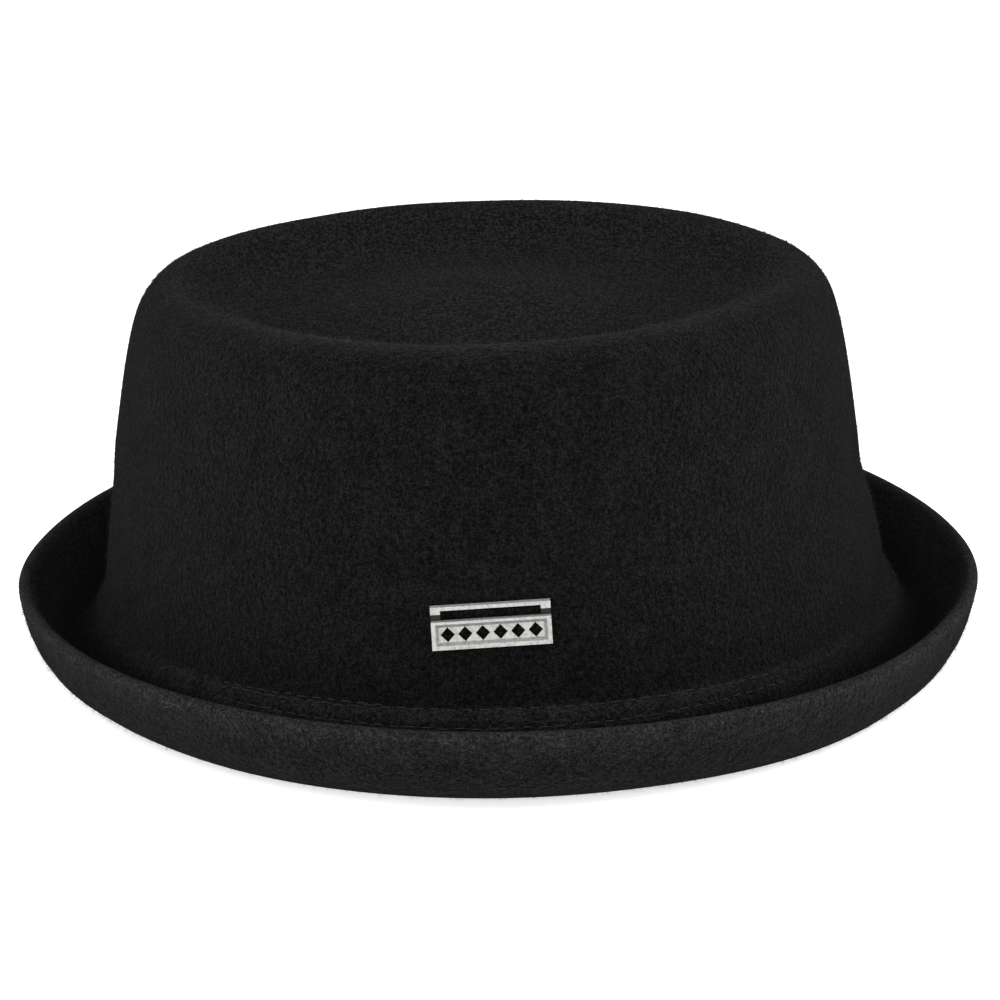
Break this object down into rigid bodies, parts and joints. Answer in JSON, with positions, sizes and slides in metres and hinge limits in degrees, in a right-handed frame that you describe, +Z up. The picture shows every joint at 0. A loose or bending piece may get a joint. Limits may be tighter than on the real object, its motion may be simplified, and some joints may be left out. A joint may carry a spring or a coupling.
{
  "type": "porkpie hat",
  "caption": "Black wool felt porkpie hat with a dished flat crown, a short brim curled up all round and a small metal badge at the front.",
  "frame": {"origin": "on the resting plane, under the middle of the brim", "axes": "+Z up, +Y to the back of the hat, -Y to the front where the badge is, X from ear to ear"},
  "size_m": [0.215, 0.2603, 0.0827],
  "materials": {
    "felt": "black brushed wool felt, matt with a soft fuzz",
    "badge_metal": "bright plated cast metal, polished edges",
    "backing_metal": "plain stamped steel"
  },
  "bodies": {
    "root": {"felt_body": "felt", "badge": "badge_metal", "badge_backing": "backing_metal"}
  },
  "joints": []
}
